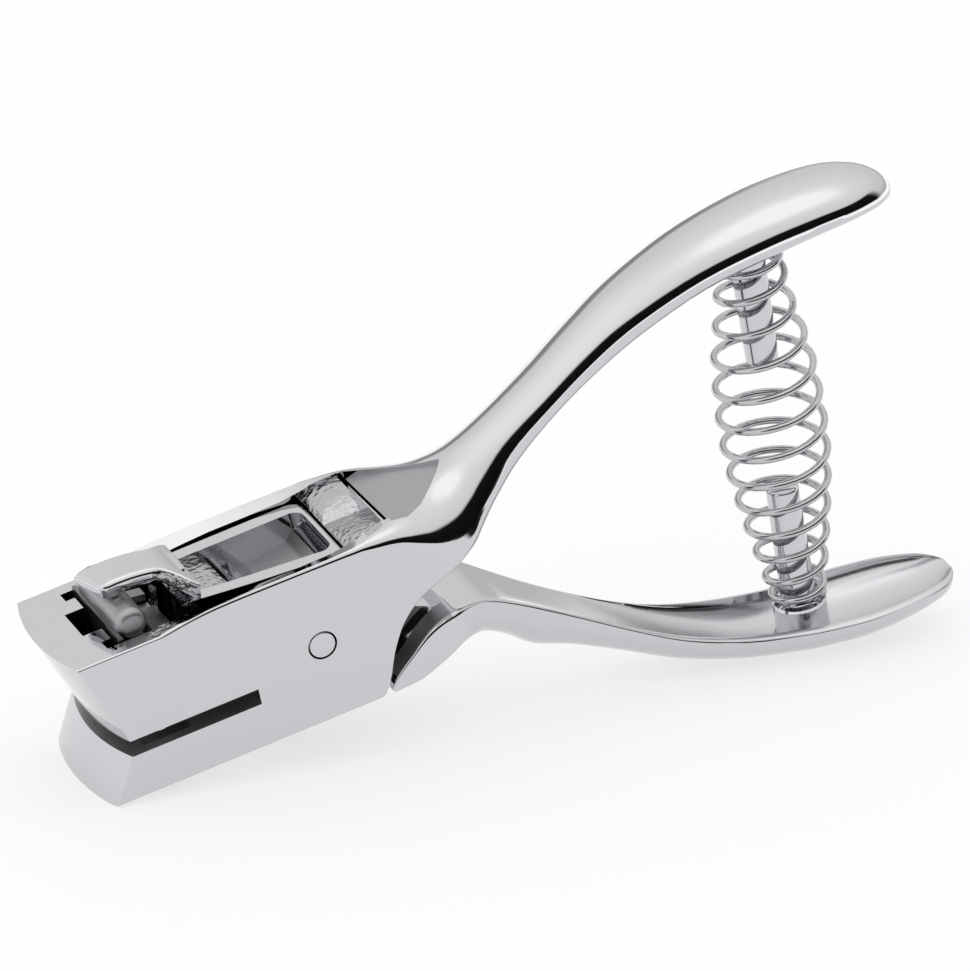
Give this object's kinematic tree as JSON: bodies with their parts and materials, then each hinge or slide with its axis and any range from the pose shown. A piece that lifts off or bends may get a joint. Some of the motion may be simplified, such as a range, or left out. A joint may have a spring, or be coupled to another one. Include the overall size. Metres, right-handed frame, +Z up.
{
  "type": "slot_punch",
  "caption": "Hand-held slot punch: plier-style die-cast body in bright chrome, lever with spoon handle, barrel-shaped return spring, slot punch and die",
  "frame": {"origin": "centre of the bounding box's bottom, on the ground under toe and handle belly", "axes": "X runs from the jaws (-X) to the handle ends (+X), Y across the head, Z up; the near cheek of the picture is -Y"},
  "size_m": [0.1308, 0.021, 0.069],
  "materials": {
    "chrome_casting": "bright chrome plate over die casting",
    "bright_steel": "plated steel",
    "hardened_steel": "ground and hardened steel",
    "spring_steel": "plated spring wire"
  },
  "bodies": {
    "frame": {"frame": "chrome_casting", "pivot_pin": "bright_steel", "die_plate": "hardened_steel", "upper_spring_post": "bright_steel", "main_spring": "spring_steel"},
    "lever": {"lever": "chrome_casting", "lower_spring_post": "bright_steel"},
    "punch": {"punch": "hardened_steel", "cross_pin": "hardened_steel"}
  },
  "joints": [
    {"name": "lever_pivot", "type": "hinge", "parent": "frame", "child": "lever", "pos_m": [-0.02954, 0, 0.01831], "axis": [0, -1, 0], "range_deg": [0, 10], "stiffness_Nm_per_rad": 1.7, "springref_deg": -17.19, "deforming": ["main_spring"]},
    {"name": "punch_slide", "type": "slide", "parent": "frame", "child": "punch", "axis": [0.2303, 0, -0.9731], "range_m": [0, 0.0041]}
  ],
  "couplings": [
    {"joint": "punch_slide", "follows": "lever_pivot", "m_per_rad": 0.0232}
  ]
}
